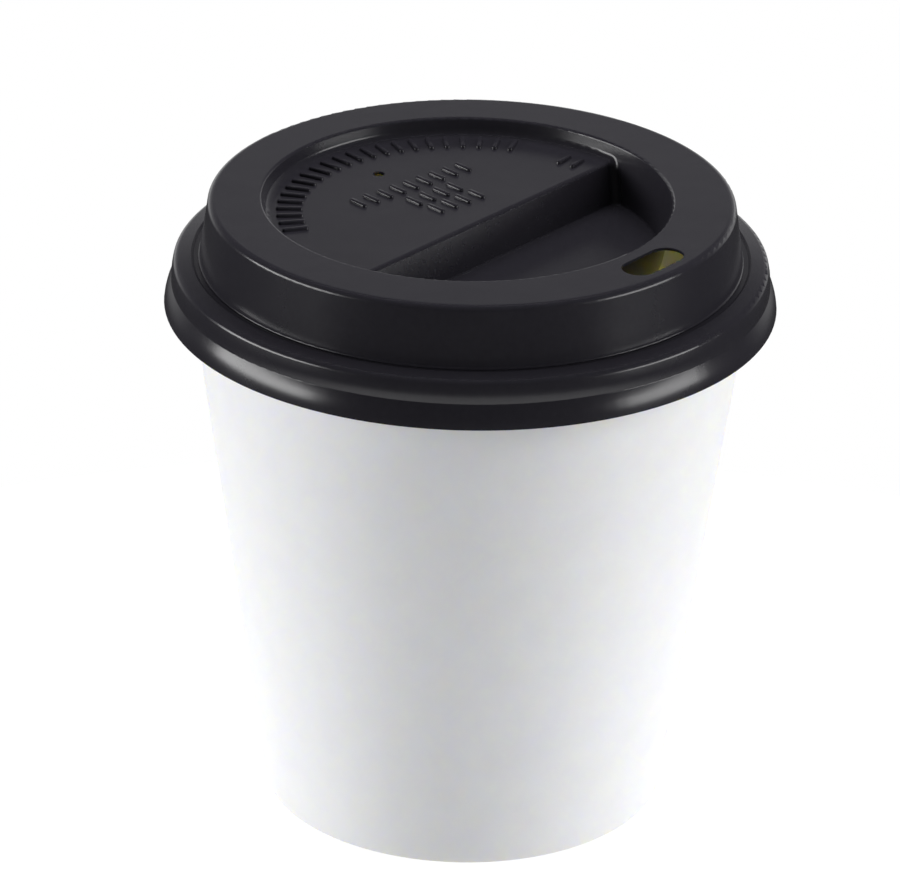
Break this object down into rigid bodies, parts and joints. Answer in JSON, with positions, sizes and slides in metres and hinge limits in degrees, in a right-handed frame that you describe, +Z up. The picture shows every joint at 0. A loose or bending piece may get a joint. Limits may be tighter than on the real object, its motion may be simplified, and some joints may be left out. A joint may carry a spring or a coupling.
{
  "type": "paper coffee cup with sip lid",
  "caption": "Small tapered white paper cup with a rolled rim and a black plastic sip lid that has a dished top, a drink hole and a deep lip trench.",
  "frame": {"origin": "centre of the cup's foot, on the surface it stands on", "axes": "+Z up along the cup's axis, -Y towards the drink hole in the lid"},
  "size_m": [0.0658, 0.0658, 0.069],
  "materials": {
    "paper_wall": "uncoated matte white board, sealed inside",
    "paper_bottom": "matte white board, sealed inside",
    "lid_plastic": "satin black thermoformed sheet"
  },
  "bodies": {
    "cup": {"cup_sidewall": "paper_wall", "cup_bottom": "paper_bottom"},
    "lid": {"lid": "lid_plastic"}
  },
  "joints": [
    {"name": "lid_lift", "type": "slide", "parent": "cup", "child": "lid", "axis": [0, 0, 1], "range_m": [0, 0.06]}
  ]
}
